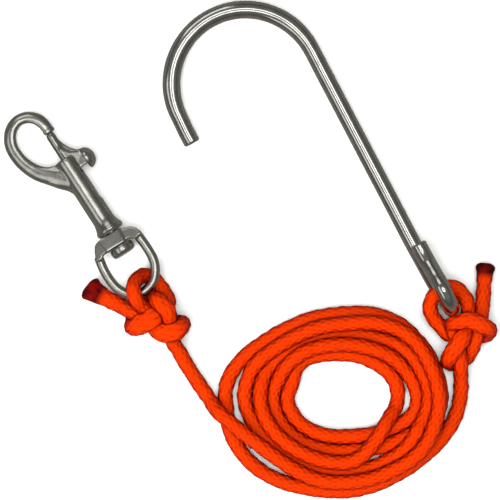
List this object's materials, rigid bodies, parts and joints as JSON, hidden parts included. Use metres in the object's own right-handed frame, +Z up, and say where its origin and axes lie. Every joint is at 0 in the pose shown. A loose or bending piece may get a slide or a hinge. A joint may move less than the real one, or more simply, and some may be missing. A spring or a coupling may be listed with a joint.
{
  "type": "swivel snap shackle with line and hook",
  "caption": "Swivel-eye bolt snap with a sprung bolt and a long open reef hook, joined by a coiled braided line knotted through both eyes.",
  "frame": {"origin": "on the surface that the object lies on, under the middle of the box round the metal parts", "axes": "+X along the longest side of the metal parts, from the snap towards the hook's eye; +Z up, away from the surface"},
  "size_m": [0.1954, 0.1982, 0.0209],
  "materials": {
    "stainless_steel": "satin cast",
    "hook_steel": "drawn bar, lightly polished",
    "spring_steel": "bright wire",
    "braid": "solid braid"
  },
  "bodies": {
    "line": {"snap_knot": "braid", "snap_loop": "braid", "snap_tail": "braid", "snap_lead": "braid", "line_coil": "braid", "hook_lead": "braid", "hook_knot": "braid", "hook_loop": "braid", "hook_tail": "braid"},
    "swivel_eye": {"swivel_eye": "stainless_steel"},
    "snap_body": {"snap_body": "stainless_steel", "swivel_pin": "stainless_steel", "bolt_spring": "spring_steel"},
    "bolt": {"bolt": "stainless_steel"},
    "hook": {"hook": "hook_steel"}
  },
  "joints": [
    {"name": "eye_lift", "type": "hinge", "parent": "line", "child": "swivel_eye", "pos_m": [-0.03472, -0.0508, 0.00821], "axis": [0.8384, 0.5451, 0], "range_deg": [0, 30]},
    {"name": "snap_swivel", "type": "hinge", "parent": "swivel_eye", "child": "snap_body", "pos_m": [-0.0508, -0.0246, 0.0062], "axis": [-0.5439, 0.8366, -0.0654], "continuous": true},
    {"name": "bolt_pull", "type": "slide", "parent": "snap_body", "child": "bolt", "axis": [0.5439, -0.8366, 0.0654], "range_m": [0, 0.0115], "stiffness_N_per_m": 400, "springref_m": -0.01, "deforming": ["bolt_spring"]},
    {"name": "hook_lift", "type": "hinge", "parent": "line", "child": "hook", "pos_m": [0.08291, -0.05227, 0.01055], "axis": [0.8815, 0.4721, 0], "range_deg": [0, 90]}
  ]
}
